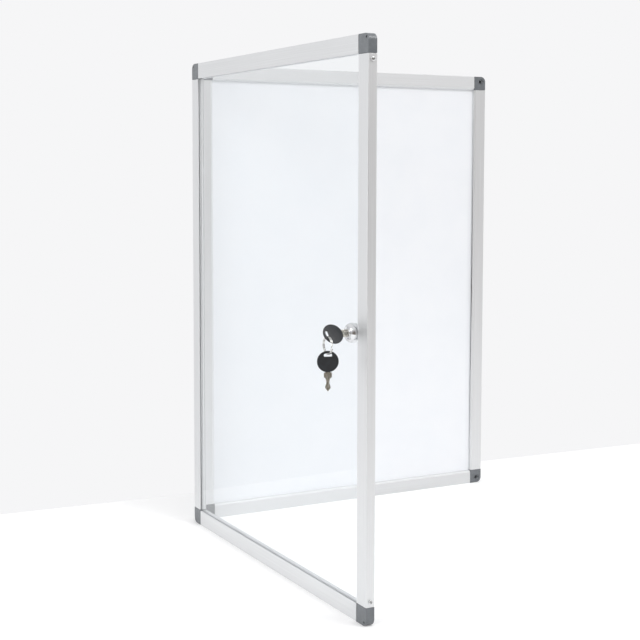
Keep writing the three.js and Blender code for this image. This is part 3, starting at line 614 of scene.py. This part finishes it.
# %% Put a cap and a screw in every corner
FACE_FORWARD = axes((1, 0, 0), (0, 0, 1), (0, -1, 0))
SCREW_FROM_END = 30
HEAD_GAP = 0.25  # between the screw's head and the stile's edge
corners = (
    ("back", "back_frame", Matrix.Identity(4), -BOARD_WIDTH / 2, -BACK_DEPTH / 2, BACK_DEPTH,
     back_cap),
    ("door", "door", DOOR, HINGE_STANDOFF, DOOR_FRONT, DOOR_DEPTH, door_cap),
)
for prefix, body, place, left, front, depth, cap in corners:
    for level, up in (("top", -1), ("bottom", 1)):
        for side, inward in (("left", 1), ("right", -1)):
            x = left if inward > 0 else left + BOARD_WIDTH
            z = 0 if up > 0 else BOARD_HEIGHT
            corner = place @ Matrix.Translation((x, front + depth, z)) @ FACE_FORWARD
            # A mirrored copy is inside out until hand_over turns its faces outwards
            mirrored = corner @ Matrix.Diagonal((inward, up, 1, 1))
            node = f"{prefix}_corner_cap_{level}_{side}"
            settle(copied(cap), f"{node}_moulding", body, GREY_ABS,
                   [node], mirrored)
            screw_at = (x - HEAD_GAP * inward, front + depth / 2, z + SCREW_FROM_END * up)
            inwards = Matrix.Rotation(math.radians(90 * inward), 4, "Y")
            node = f"{prefix}_corner_screw_{level}_{side}"
            settle(copied(pan_screw), f"{node}_pan_head", body, ZINC,
                   [node], place @ Matrix.Translation(screw_at) @ inwards)
discard(back_cap, door_cap, pan_screw)

# %% [markdown]
# ## Hinges
# Two small butt hinges join the frames on the left. A leaf is pressed from strip, and its edge
# is curled round the pin in knuckles that take turns: three on the frame's leaf and two on the
# door's. Each leaf is a plate with its knuckles turned, bored and joined to it, and its two
# holes are countersunk so that the flat screw heads sink flush.

# %% One leaf of each kind about an upright pin
KNUCKLES = 5
KNUCKLE = 10
HALF_HINGE = KNUCKLES * KNUCKLE / 2
KNUCKLE_RADIUS = 2.5
HALF_GAP = 0.15  # half the gap between one knuckle and the next
LEAF_NEAR = 1.3  # the leaf's two faces lie this far beyond the pin's line
LEAF_FAR = 2.5
SCREW_ACROSS = 7
SCREW_HEIGHTS = (-15, 15)


def leaf(toward, own):
    """A leaf that reaches along plus or minus Y. Own says which knuckles are its own."""
    plate = slab(LEAF_NEAR, LEAF_FAR, 2.8 * toward, 11.2 * toward, -HALF_HINGE, HALF_HINGE)
    for i in range(own, KNUCKLES, 2):
        low = -HALF_HINGE + i * KNUCKLE + (HALF_GAP if i > 0 else 0)
        high = -HALF_HINGE + (i + 1) * KNUCKLE - (HALF_GAP if i < KNUCKLES - 1 else 0)
        combine(plate, slab(LEAF_NEAR, LEAF_FAR, 0, 3.1 * toward, low, high), "UNION")
        combine(plate, turned([(KNUCKLE_RADIUS, low), (KNUCKLE_RADIUS, high)], 36), "UNION")
    combine(plate, turned([(1.3, -HALF_HINGE - 1), (1.3, HALF_HINGE + 1)], 36))
    for up in SCREW_HEIGHTS:
        hole = turned([(2.6, -1), (2.6, 0), (1.5, 1), (1.5, 3)], 32)
        hole_at = Matrix.Translation((LEAF_NEAR, SCREW_ACROSS * toward, up))
        combine(plate, moved(hole, hole_at @ ALONG_X))
    return plate


sunk_screw = turned([(0.3, 7), (1.3, 5.7), (1.3, 1), (2.4, 0), (0.05, 0)], 36)
press_cross(sunk_screw, 0.4, 1.5, -1, 0.4)
hinge_pin = turned([(0.6, -25.8), (1.2, -25.4), (1.2, 25.4), (0.6, 25.8)], 32)

# %% Hang both hinges
HINGE_FROM_END = 65
SUNK = 0.1  # how far the flat heads lie below the leaf's face
frame_leaf = leaf(1, 0)
door_leaf = leaf(-1, 1)
for level, height in (("top", BOARD_HEIGHT - HINGE_FROM_END), ("bottom", HINGE_FROM_END)):
    for half, body, place, toward, shape in (
        ("frame", "back_frame", Matrix.Translation(hinge_line), 1, frame_leaf),
        ("door", "door", DOOR, -1, door_leaf),
    ):
        node = f"hinge_{level}_{half}_leaf"
        at_height = place @ Matrix.Translation((0, 0, height))
        settle(copied(shape), f"{node}_pressing", body, ZINC,
               [node], at_height)
        for index, up in enumerate(SCREW_HEIGHTS, 1):
            node = f"hinge_{level}_{half}_screw_{index}"
            screw_at = Matrix.Translation((LEAF_NEAR + SUNK, SCREW_ACROSS * toward, up))
            settle(copied(sunk_screw), f"{node}_flat_head", body, ZINC,
                   [node], at_height @ screw_at @ ALONG_X)
    node = f"hinge_{level}_pin"
    settle(copied(hinge_pin), f"{node}_drawn", "back_frame", ZINC, [node],
           Matrix.Translation(hinge_line + Vector((0, 0, height))))
discard(frame_leaf, door_leaf, sunk_screw, hinge_pin)

# %% [markdown]
# ## The lock
# A cylinder cam lock sits in a hole of the pane. Its barrel is turned with a wide domed flange
# outside, and a hexagon nut clamps it from behind. The plug turns inside it with the key and
# carries the cam. Turned pieces are built by extruding a ring of edges and resizing it at each
# step, which is what a lathe tool does to a bar.

# %% Barrel with its domed flange
OUTWARDS = Matrix.Rotation(math.radians(-90), 4, "X")  # carries plus Z on the bench to plus Y
barrel = turned([
    (6.1, 13.2), (7.7, 13.2), (8.0, 12.9), (8.0, -0.25), (11.8, -0.25), (12.0, -0.45),
    (12.0, -2.0), (11.92, -2.6), (11.68, -4.4), (11.2, -5.5), (10.6, -6.5), (9.9, -7.4),
    (9.2, -8.15), (8.85, -8.4), (8.6, -8.0), (8.25, -7.9), (8.05, -8.8), (7.8, -9.0), (7.35, -8.95),
    (6.9, -8.5), (6.2, -7.7), (6.1, -7.5), (6.1, 13.2)], 72)
settle(barrel, "lock_barrel_chromed", "door", CHROME, ["lock_barrel"],
       LOCK @ OUTWARDS, 50)

# %% Hexagon nut
# A hexagon bar is crossed with a turned bar whose rims slope, which gives the curved bright
# edges that every turned nut has.
NUT_BEHIND = 3.25  # the nut's face, behind the pane's front
nut = turned([(11.3, 0), (11.3, 3)], 6)
crossing = turned([(10.1, -0.01), (11.6, 0.8), (11.6, 2.2), (10.1, 3.01)], 72)
combine(nut, crossing, "INTERSECT")
combine(nut, turned([(8.2, -1), (8.2, 4)], 48))
settle(nut, "lock_nut_hexagon", "door", CHROME, ["lock_nut"],
       LOCK @ Matrix.Translation((0, NUT_BEHIND, 0)) @ OUTWARDS, 30)

# %% Plug with the keyway
# The square end carries the cam, a slot takes the blade, a wider one opens at the face, and a
# bore takes the cam's screw.
plug = turned([
    (5.9, 13.2), (6.0, 13.1), (6.0, -7.9), (5.8, -8.4), (5.4, -8.7), (0.05, -8.7)], 60)
combine(plug, slab(-2.8, 2.8, -2.8, 2.8, 12.2, 14.95), "UNION")
combine(plug, slab(-1.2, 1.2, -4.0, 4.0, -8, 7.9))
combine(plug, slab(-1.6, 1.6, -4.4, 4.4, -10, -7.6))
combine(plug, turned([(1.7, 12), (1.7, 16)], 32))
settle(plug, "lock_plug_turned", "lock_rotor", CHROME, ["lock_plug"],
       ROTOR @ OUTWARDS)

# %% Cam and the screw that holds it
STAMPED_EDGE = 0.2
softened("lock_cam", "lock_cam_stamping", "lock_rotor", CAM_STEEL, STAMPED_EDGE)
cam_screw = turned([
    (0.6, 12.3), (1.5, 12.9), (1.5, 15.2), (3.6, 15.2), (3.6, 15.8), (3.45, 16.05),
    (3.1, 16.22), (2.6, 16.3), (0.05, 16.3)], 40)
press_cross(cam_screw, 0.42, 1.6, 15.5, 17)
settle(cam_screw, "lock_cam_screw_pan_head", "lock_rotor", ZINC,
       ["lock_cam_screw"], ROTOR @ OUTWARDS)

# %% [markdown]
# ## The keys
# Both keys are cut from flat bar and have a moulded bow. The bow is a flat oval button with
# rounded rims, a slot near its outer end for the ring, and a shallow thumb panel on each side,
# which is left bare. It starts as a short cylinder that is drawn a little oval, and its rims are
# bevelled. A shallow turned tool with a sloping side, trimmed straight next to the slot, sinks
# each panel, and the slot and the pocket for the blade are cut last. The blade grows from its
# shoulder by extruding the end face and resizing it at each station of its outline.

# %% Bow
BOW_WIDTH = 26
BOW_LENGTH = 25.4
BOW_THICK = 2.6
BOW_RIM = 0.75
SLOT_AT = -7.8
SLOT_OUTER_EDGE = -10.2
SLOT_ROUND = 8.3
SLOT_END = 5.1
PANEL_FROM = -4.6


def key_bow():
    """A bow that lies flat, with its middle at the origin and its blade towards plus Y."""
    bpy.ops.object.select_all(action="DESELECT")
    bpy.ops.mesh.primitive_cylinder_add(vertices=96, radius=1, depth=BOW_THICK)
    bow = bpy.context.object
    bow.scale = (BOW_WIDTH / 2, BOW_LENGTH / 2, 1)
    bpy.ops.object.transform_apply(location=True, rotation=True, scale=True)
    edit(bow)
    pick(bow, "FACE", lambda at, normal: abs(normal.z) > 0.9)
    bpy.ops.mesh.region_to_loop()
    bpy.ops.mesh.bevel(offset=BOW_RIM, segments=5, profile=0.5, affect="EDGES")
    bpy.ops.object.mode_set(mode="OBJECT")
    for side in (-1, 1):
        panel = turned([(10.1, 0.9 * side), (10.9, 1.35 * side), (10.9, 3 * side)], 96)
        moved(panel, Matrix.Diagonal((1, BOW_LENGTH / BOW_WIDTH, 1, 1)))
        combine(panel, slab(-12, 12, PANEL_FROM, 12, -4, 4), "INTERSECT")
        combine(bow, panel)
    slot = turned([(SLOT_ROUND, -3), (SLOT_ROUND, 3)], 72)
    moved(slot, Matrix.Translation((0, SLOT_OUTER_EDGE + SLOT_ROUND, 0)))
    combine(slot, slab(-SLOT_END, SLOT_END, -12, SLOT_AT + 2.1, -4, 4), "INTERSECT")
    edit(slot)
    pick(slot, "EDGE", lambda at, way: abs(way.z) > 0.9 and abs(at.x) > SLOT_END - NEAR)
    bpy.ops.mesh.bevel(offset=1.3, segments=6, profile=0.5, affect="EDGES")
    bpy.ops.object.mode_set(mode="OBJECT")
    combine(bow, slot)
    combine(bow, slab(-3.2, 3.2, BOW_LENGTH / 2 - 5.2, BOW_LENGTH / 2 + 1, -0.7, 0.7))
    return bow


bow = key_bow()
print("bow:", len(bow.data.polygons), "faces")

# %% Blade
# Half the blade's width at each distance from the bow, in millimetres, past the shoulder. The
# lock's wards run in the milled V groove down the middle of each side. Two short grooves lean
# in from the shoulder.
SHOULDER_HALF = 4.7
SHOULDER_END = 6.1
BLADE_FACE = 1
BLADE_STATIONS = [
    (3.8, 6.35), (3.3, 6.9), (2.75, 7.7), (2.35, 8.7), (2.12, 9.5), (1.9, 10.8), (1.82, 11.8),
    (1.82, 13.6), (2.1, 14.5), (2.5, 15.4), (2.95, 16.4), (3.2, 17.4), (3.2, 18.2), (2.96, 19.0),
    (2.3, 20.1), (1.6, 21.0), (0.9, 22.0), (0.4, 22.6),
]
# Place across the blade, lean in degrees, start and end along it, and half width
BLADE_GROOVES = ((1.7, 12, 2.6, 10, 0.75), (-1.7, -12, 3.4, 10, 0.6), (0, 0, 9.4, 30, 0.5))


def key_blade():
    """A blade that lies flat and starts just past the bow, with a tang that reaches into it."""
    end = BOW_LENGTH / 2
    blade = slab(-SHOULDER_HALF, SHOULDER_HALF, end + 0.3, end + SHOULDER_END,
                 -BLADE_FACE, BLADE_FACE)
    edit(blade)
    pick(blade, "FACE", lambda at, normal: normal.y > 0.9)
    half, reach = SHOULDER_HALF, SHOULDER_END
    for next_half, next_reach in BLADE_STATIONS:
        step = {"value": (0, next_reach - reach, 0)}
        bpy.ops.mesh.extrude_region_move(TRANSFORM_OT_translate=step)
        centre = (0, end + next_reach, 0)
        bpy.ops.transform.resize(value=(next_half / half, 1, 1), center_override=centre)
        half, reach = next_half, next_reach
    bpy.ops.mesh.select_all(action="SELECT")
    bpy.ops.mesh.remove_doubles(threshold=SAME_POINT)
    bpy.ops.mesh.normals_make_consistent(inside=False)
    bpy.ops.object.mode_set(mode="OBJECT")
    apply(blade, "BEVEL", width=0.12, segments=2, limit_method="ANGLE",
          angle_limit=math.radians(35), use_clamp_overlap=True)
    combine(blade, slab(-3, 3, end - 5, end + 1, -0.5, 0.5), "UNION")
    for side in (-1, 1):
        for x, lean, first, last, half in BLADE_GROOVES:
            groove = slab(-half, half, 0, last - first, -half, half)
            moved(groove, Matrix.Rotation(math.radians(45), 4, "Y"))
            moved(groove, Matrix.Rotation(math.radians(lean), 4, "Z"))
            # The square tool stands on its edge, and its middle lies a little above the face
            groove_at = (x, end + first, (BLADE_FACE + 0.41 * half) * side)
            combine(blade, moved(groove, Matrix.Translation(groove_at)))
    return blade


blade = key_blade()
print("blade:", len(blade.data.polygons), "faces")

# %% Where the two keys are
# The first key stands out of the plug, turned with it. The ring's wire passes through its slot
# near the lower end, and the second key hangs a hair clear of the ring's lowest point.
PLUG_FACE = 8.7
KEY_EXPOSED = 6.4
RING_RADIUS = 10.4
RING_WIRE = 0.62
HANG = 2.9  # from the middle of the first key's slot to the wire in it
HANGING_PLAY = 0.75
HANGING_YAW = 71
bow_at = -(PLUG_FACE + KEY_EXPOSED + BOW_LENGTH / 2)
KEY_1 = ROTOR @ Matrix.Translation((0, bow_at, 0)) @ axes((0, 0, 1), (0, 1, 0), (-1, 0, 0))
pivot = Vector((HANG * math.sin(KEY_TURN), bow_at + SLOT_AT, -HANG * math.cos(KEY_TURN)))
ring_bottom = pivot.z - RING_RADIUS * 2
key_2_at = (pivot.x, pivot.y, ring_bottom + RING_WIRE + HANGING_PLAY + SLOT_OUTER_EDGE)
KEY_2 = (
    LOCK
    @ Matrix.Translation(key_2_at)
    @ Matrix.Rotation(math.radians(HANGING_YAW), 4, "Z")
    @ axes((1, 0, 0), (0, 0, -1), (0, 1, 0))
)
for number, place, body in ((1, KEY_1, "first_key"), (2, KEY_2, "second_key")):
    settle(copied(bow), f"key_{number}_bow_moulding", body, BLACK_ABS,
           [f"key_{number}_bow"], place)
    settle(copied(blade), f"key_{number}_blade_milled", body, NICKEL,
           [f"key_{number}_blade"], place, 25)
discard(bow, blade)
print("the ring hangs from", [round(c, 2) for c in pivot], "mm, seen from the lock")

# %% [markdown]
# ## The split ring
# The ring is nearly two turns of wire that lie flat on each other and step across once, where
# a key is threaded on. A curve follows the wire's middle: two flat turns side by side with a
# short smooth step between them. Giving the curve a round section and turning it into a mesh
# makes the wire, and this is easier to steer than turning a section with a screw modifier,
# which would climb all the way.

# %% Two turns of wire with one step
RING_START = 20
RING_TRAVEL = 680
STEP_FROM = 350
STEP_OVER = 30
TURN_GAP = 0.45  # keeps the mesh of one turn clear of the other's
layer = RING_WIRE + TURN_GAP / 2


def ring_point(degrees):
    """A point of the wire's middle. The share of the step rises smoothly from 0 to 1."""
    raw = min(max((degrees - STEP_FROM) / STEP_OVER, 0), 1)
    share = raw * raw * (3 - 2 * raw)
    angle = math.radians(degrees)
    return (RING_RADIUS * math.cos(angle), layer * (2 * share - 1), RING_RADIUS * math.sin(angle))


line = bpy.data.curves.new("ring_line", "CURVE")
line.dimensions = "3D"
line.bevel_depth = RING_WIRE
line.bevel_resolution = 5
line.use_fill_caps = True
spline = line.splines.new("POLY")
steps = 170
spline.points.add(steps)
for i, point in enumerate(spline.points):
    point.co = (*ring_point(RING_START + RING_TRAVEL * i / steps), 1)
ring = bpy.data.objects.new("ring_line", line)
scene.collection.objects.link(ring)
only(ring)
bpy.ops.object.convert(target="MESH")
ring = bpy.context.object
settle(ring, "key_ring_wire", "split_ring", WIRE, ["key_ring"],
       LOCK @ Matrix.Translation((pivot.x, pivot.y, pivot.z - RING_RADIUS)), 60)

# %% [markdown]
# ## Sheets and pane
# The writing sheet, the fibre core, the back sheet and the pane are plain cut sheets, and
# their solids are already right, so they only take their finishes. Drawing a flat sheet again
# would add nothing, and the thin edges of all four are hidden in the frames' grooves. The back
# sheet is the one large surface that is seen from behind, and the crystals of its zinc coat
# carry that side.

# %% Finishes for the solids that stay
for node, material in {
    "writing_sheet": WHITE_ENAMEL,
    "board_core": PRESSED_FIBRE,
    "back_sheet": GALVANISED,
    "clear_pane": CLEAR_ACRYLIC,
}.items():
    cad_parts[node].data.materials.clear()
    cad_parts[node].data.materials.append(material)
# Clear acrylic hardly shades what is behind it, so the pane lets the lamps through
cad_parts["clear_pane"].visible_shadow = False
shown = [name for name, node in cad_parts.items() if not node.hide_render]
print("solids that stay in view:", shown)

# %% [markdown]
# ## Studio
# The photograph is a bright white studio picture. Pale paper on the floor takes the object's
# soft shadow and ends just behind the board, where the pale wall begins. The room is pale all
# round, only dimmer along the horizon on the photographer's side. Polished metal needs such a
# dark side, or it has nothing to show and looks like grey plaster. The camera and the clear
# pane always see the pale room, through the Light Path node, so no view has a dark background.

# %% Floor
FLOOR_LIFT = 0.14  # a faint glow for the lens, metal and glass alone, up to a studio's white
bpy.ops.object.select_all(action="DESELECT")
bpy.ops.mesh.primitive_plane_add(size=1)
floor = bpy.context.object
floor.scale = (3.6, 1.9, 1)
floor.rotation_euler.z = math.radians(-3.1)
floor.location = (-0.04, -0.81, 0)
bpy.ops.object.transform_apply(location=True, rotation=True, scale=True)
floor.name = "studio_floor"
FLOOR_PAPER, shader = finish(
    "pale_floor_paper",
    {"Base Color": linear("#F4F4F4"), "Roughness": 1.0, "Emission Color": linear("#FFFFFF")},
)
tree = FLOOR_PAPER.node_tree
ray = add(tree, "ShaderNodeLightPath")
camera_or_glossy = add(
    tree,
    "ShaderNodeMath",
    {"operation": "MAXIMUM"},
    {0: ray.outputs["Is Camera Ray"], 1: ray.outputs["Is Glossy Ray"]},
)
any_view = add(
    tree,
    "ShaderNodeMath",
    {"operation": "MAXIMUM"},
    {0: camera_or_glossy.outputs[0], 1: ray.outputs["Is Transmission Ray"]},
)
lift = add(tree, "ShaderNodeMath", {"operation": "MULTIPLY"}, {0: any_view.outputs[0]})
lift.inputs[1].default_value = FLOOR_LIFT
tree.links.new(lift.outputs[0], shader.inputs["Emission Strength"])
floor.data.materials.append(FLOOR_PAPER)
print("floor:", [round(size, 2) for size in floor.dimensions[:2]], "m")

# %% World
DIM_SIDE = Vector((-0.17, -0.985, 0)).normalized()
FLATTEN = 2.2  # the dim side is wide and low, so height counts for more than width
world = bpy.data.worlds.new("studio")
scene.world = world
world.use_nodes = True
tree = world.node_tree
tree.nodes.clear()
direction = add(tree, "ShaderNodeTexCoord")
flat = add(
    tree,
    "ShaderNodeVectorMath",
    {"operation": "MULTIPLY"},
    {0: direction.outputs["Generated"]},
)
flat.inputs[1].default_value = (1, 1, FLATTEN)
unit = add(tree, "ShaderNodeVectorMath", {"operation": "NORMALIZE"}, {0: flat.outputs["Vector"]})
toward = add(
    tree,
    "ShaderNodeVectorMath",
    {"operation": "DOT_PRODUCT"},
    {0: unit.outputs["Vector"]},
)
toward.inputs[1].default_value = DIM_SIDE
ray = add(tree, "ShaderNodeLightPath")
seen = add(
    tree,
    "ShaderNodeMath",
    {"operation": "MAXIMUM"},
    {0: ray.outputs["Is Camera Ray"], 1: ray.outputs["Is Transmission Ray"]},
)
# A ray that sees the room directly gets a share of at most 0, which is the pale end
dimness = add(
    tree,
    "ShaderNodeMath",
    {"operation": "SUBTRACT"},
    {0: toward.outputs["Value"], 1: seen.outputs[0]},
)
dimmer = add(
    tree,
    "ShaderNodeMapRange",
    {"interpolation_type": "SMOOTHSTEP", "From Min": 0.35, "From Max": 0.95},
    {"Value": dimness.outputs[0]},
)
# Inputs 6 and 7 of a Mix node are its two colours, and output 2 is the mixed one
mixed = add(tree, "ShaderNodeMix", {"data_type": "RGBA"}, {0: dimmer.outputs["Result"]})
mixed.inputs[6].default_value = linear("#F6F6F7")
mixed.inputs[7].default_value = linear("#807872")
lighting = add(tree, "ShaderNodeBackground", {"Strength": 1.0})
tree.links.new(mixed.outputs[2], lighting.inputs["Color"])
add(tree, "ShaderNodeOutputWorld", links={"Surface": lighting.outputs[0]})
print("world nodes:", len(tree.nodes))

# %% Lamps
def softbox(name, place, aim, size, power):
    """A square lamp that looks at a point."""
    lamp = bpy.data.lights.new(name, "AREA")
    lamp.size = size
    lamp.energy = power
    holder = bpy.data.objects.new(name, lamp)
    scene.collection.objects.link(holder)
    holder.location = place
    holder.rotation_euler = (Vector(aim) - Vector(place)).to_track_quat("-Z", "Y").to_euler()
    print(f"{name}: {power} W")


softbox("softbox_above", (0.6, -1.7, 2.2), aim=(0, -0.2, 0.35), size=1.0, power=17.5)
softbox("softbox_left", (-1.9, -1.0, 1.55), aim=(-0.2, -0.4, 0.35), size=0.8, power=7)

# %% [markdown]
# ## Camera
# The photograph's camera was worked out from the straight edges of the board: it stands two
# metres away to the left, a little above the board's middle, and looks slightly down. Its
# picture was cropped, so a small vertical shift brings the frame back.

# %% Camera at the photograph's place
PICTURE_WIDTH = 640
FOCAL_LENGTH = 1289  # in the picture's own pixels
LOOKS_DOWN = 4.49
LEANS = -0.1
TURNED_RIGHT = 28.23
camera = bpy.data.cameras.new("camera")
camera.sensor_width = 36
camera.lens = FOCAL_LENGTH / PICTURE_WIDTH * camera.sensor_width
camera.shift_y = -0.0778
camera.clip_start = 0.05
camera.clip_end = 50
viewer = bpy.data.objects.new("camera", camera)
scene.collection.objects.link(viewer)
viewer.location = (-1.033, -1.826, 0.5434)
viewer.rotation_euler = [math.radians(turn) for turn in (90 - LOOKS_DOWN, LEANS, -TURNED_RIGHT)]
scene.camera = viewer
print("camera at", [round(c, 3) for c in viewer.location], "m, lens", round(camera.lens, 1), "mm")
